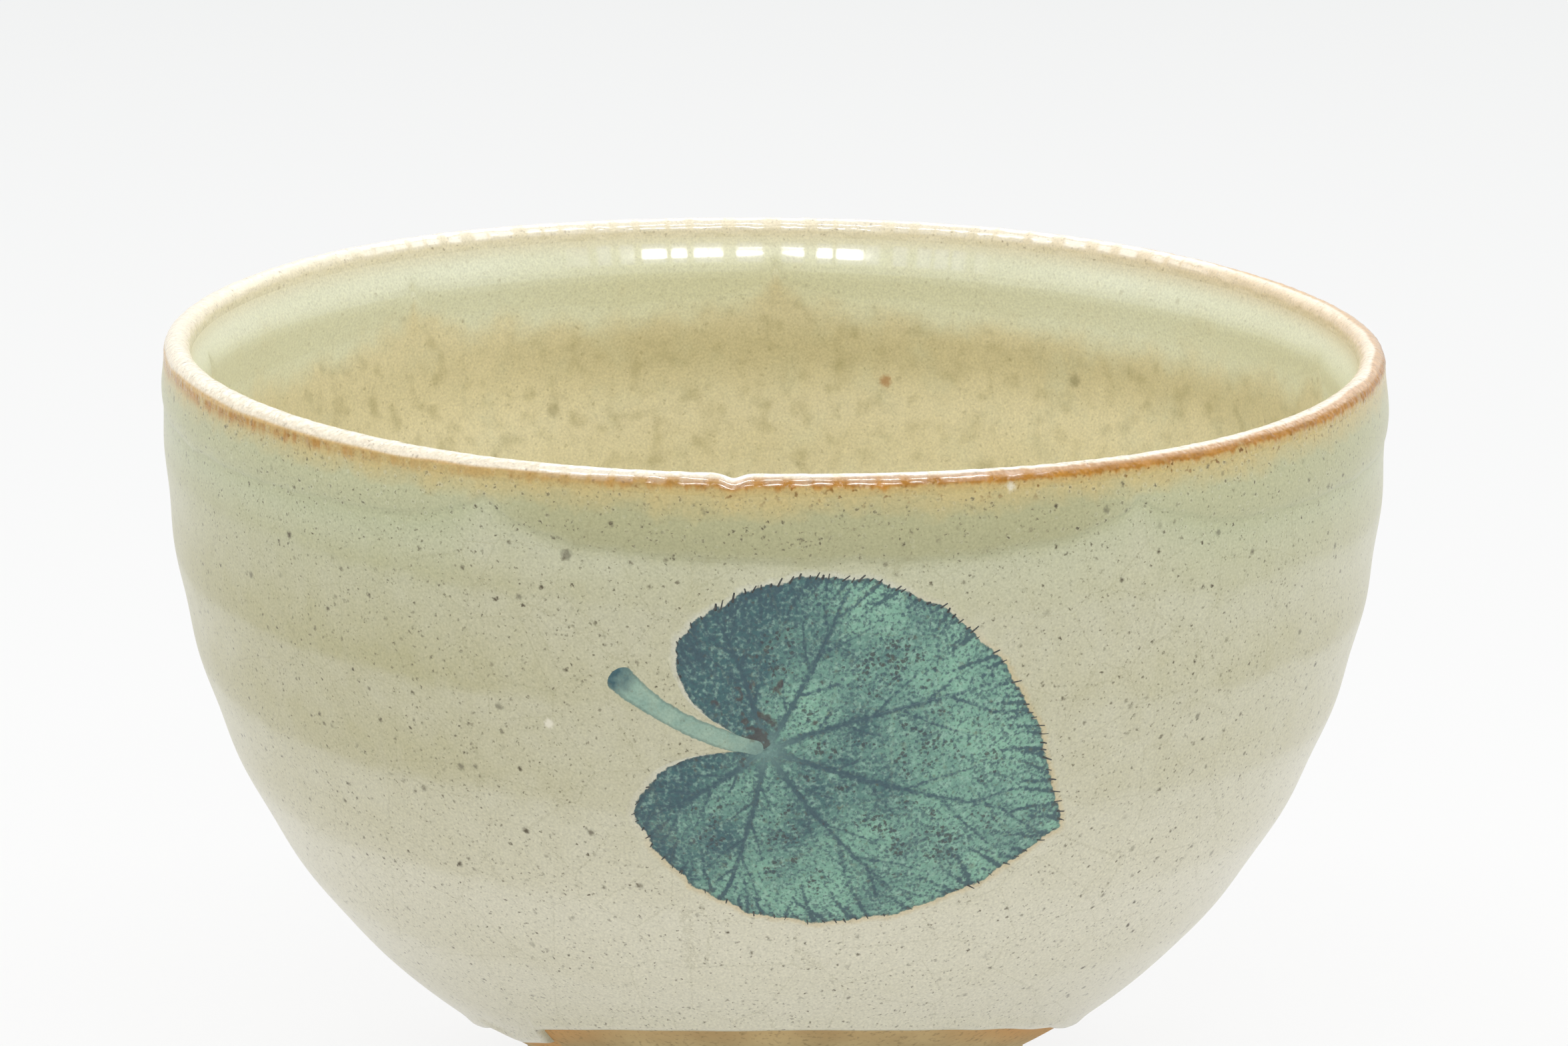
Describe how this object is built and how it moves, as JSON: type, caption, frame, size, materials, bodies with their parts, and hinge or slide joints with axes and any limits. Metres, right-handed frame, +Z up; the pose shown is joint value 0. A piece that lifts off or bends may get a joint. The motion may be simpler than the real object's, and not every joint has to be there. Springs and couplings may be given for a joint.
{
  "type": "matcha bowl",
  "caption": "Round stoneware matcha bowl with a deep well, ash glaze, green rim dip, brown lip, leaf print and a trimmed foot ring.",
  "frame": {"origin": "centre of the plane that the foot ring rests on", "axes": "+Z up along the bowl's axis, -Y towards the leaf print at the front"},
  "size_m": [0.12, 0.12, 0.078],
  "materials": {
    "stoneware": "matte, bare fired clay",
    "outer_ash_glaze": "glossy, speckled cream ash glaze",
    "inner_ash_glaze": "glossy, speckled tan ash glaze",
    "outer_green_glaze": "glossy grey-green glaze",
    "inner_green_glaze": "glossy grey-green glaze",
    "iron_lip": "glossy iron-brown glaze, thin on the edge",
    "leaf_green": "glossy blue-green underglaze print",
    "stalk_green": "glossy pale green underglaze print",
    "vein_brown": "glossy dark brown underglaze print"
  },
  "bodies": {
    "root": {"bowl_wall": "stoneware", "foot_ring": "stoneware", "outer_glaze": "outer_ash_glaze", "inner_glaze": "inner_ash_glaze", "outer_rim_dip": "outer_green_glaze", "inner_rim_dip": "inner_green_glaze", "lip_band": "iron_lip", "leaf_blade": "leaf_green", "leaf_stalk": "stalk_green", "leaf_veins": "vein_brown"}
  },
  "joints": []
}
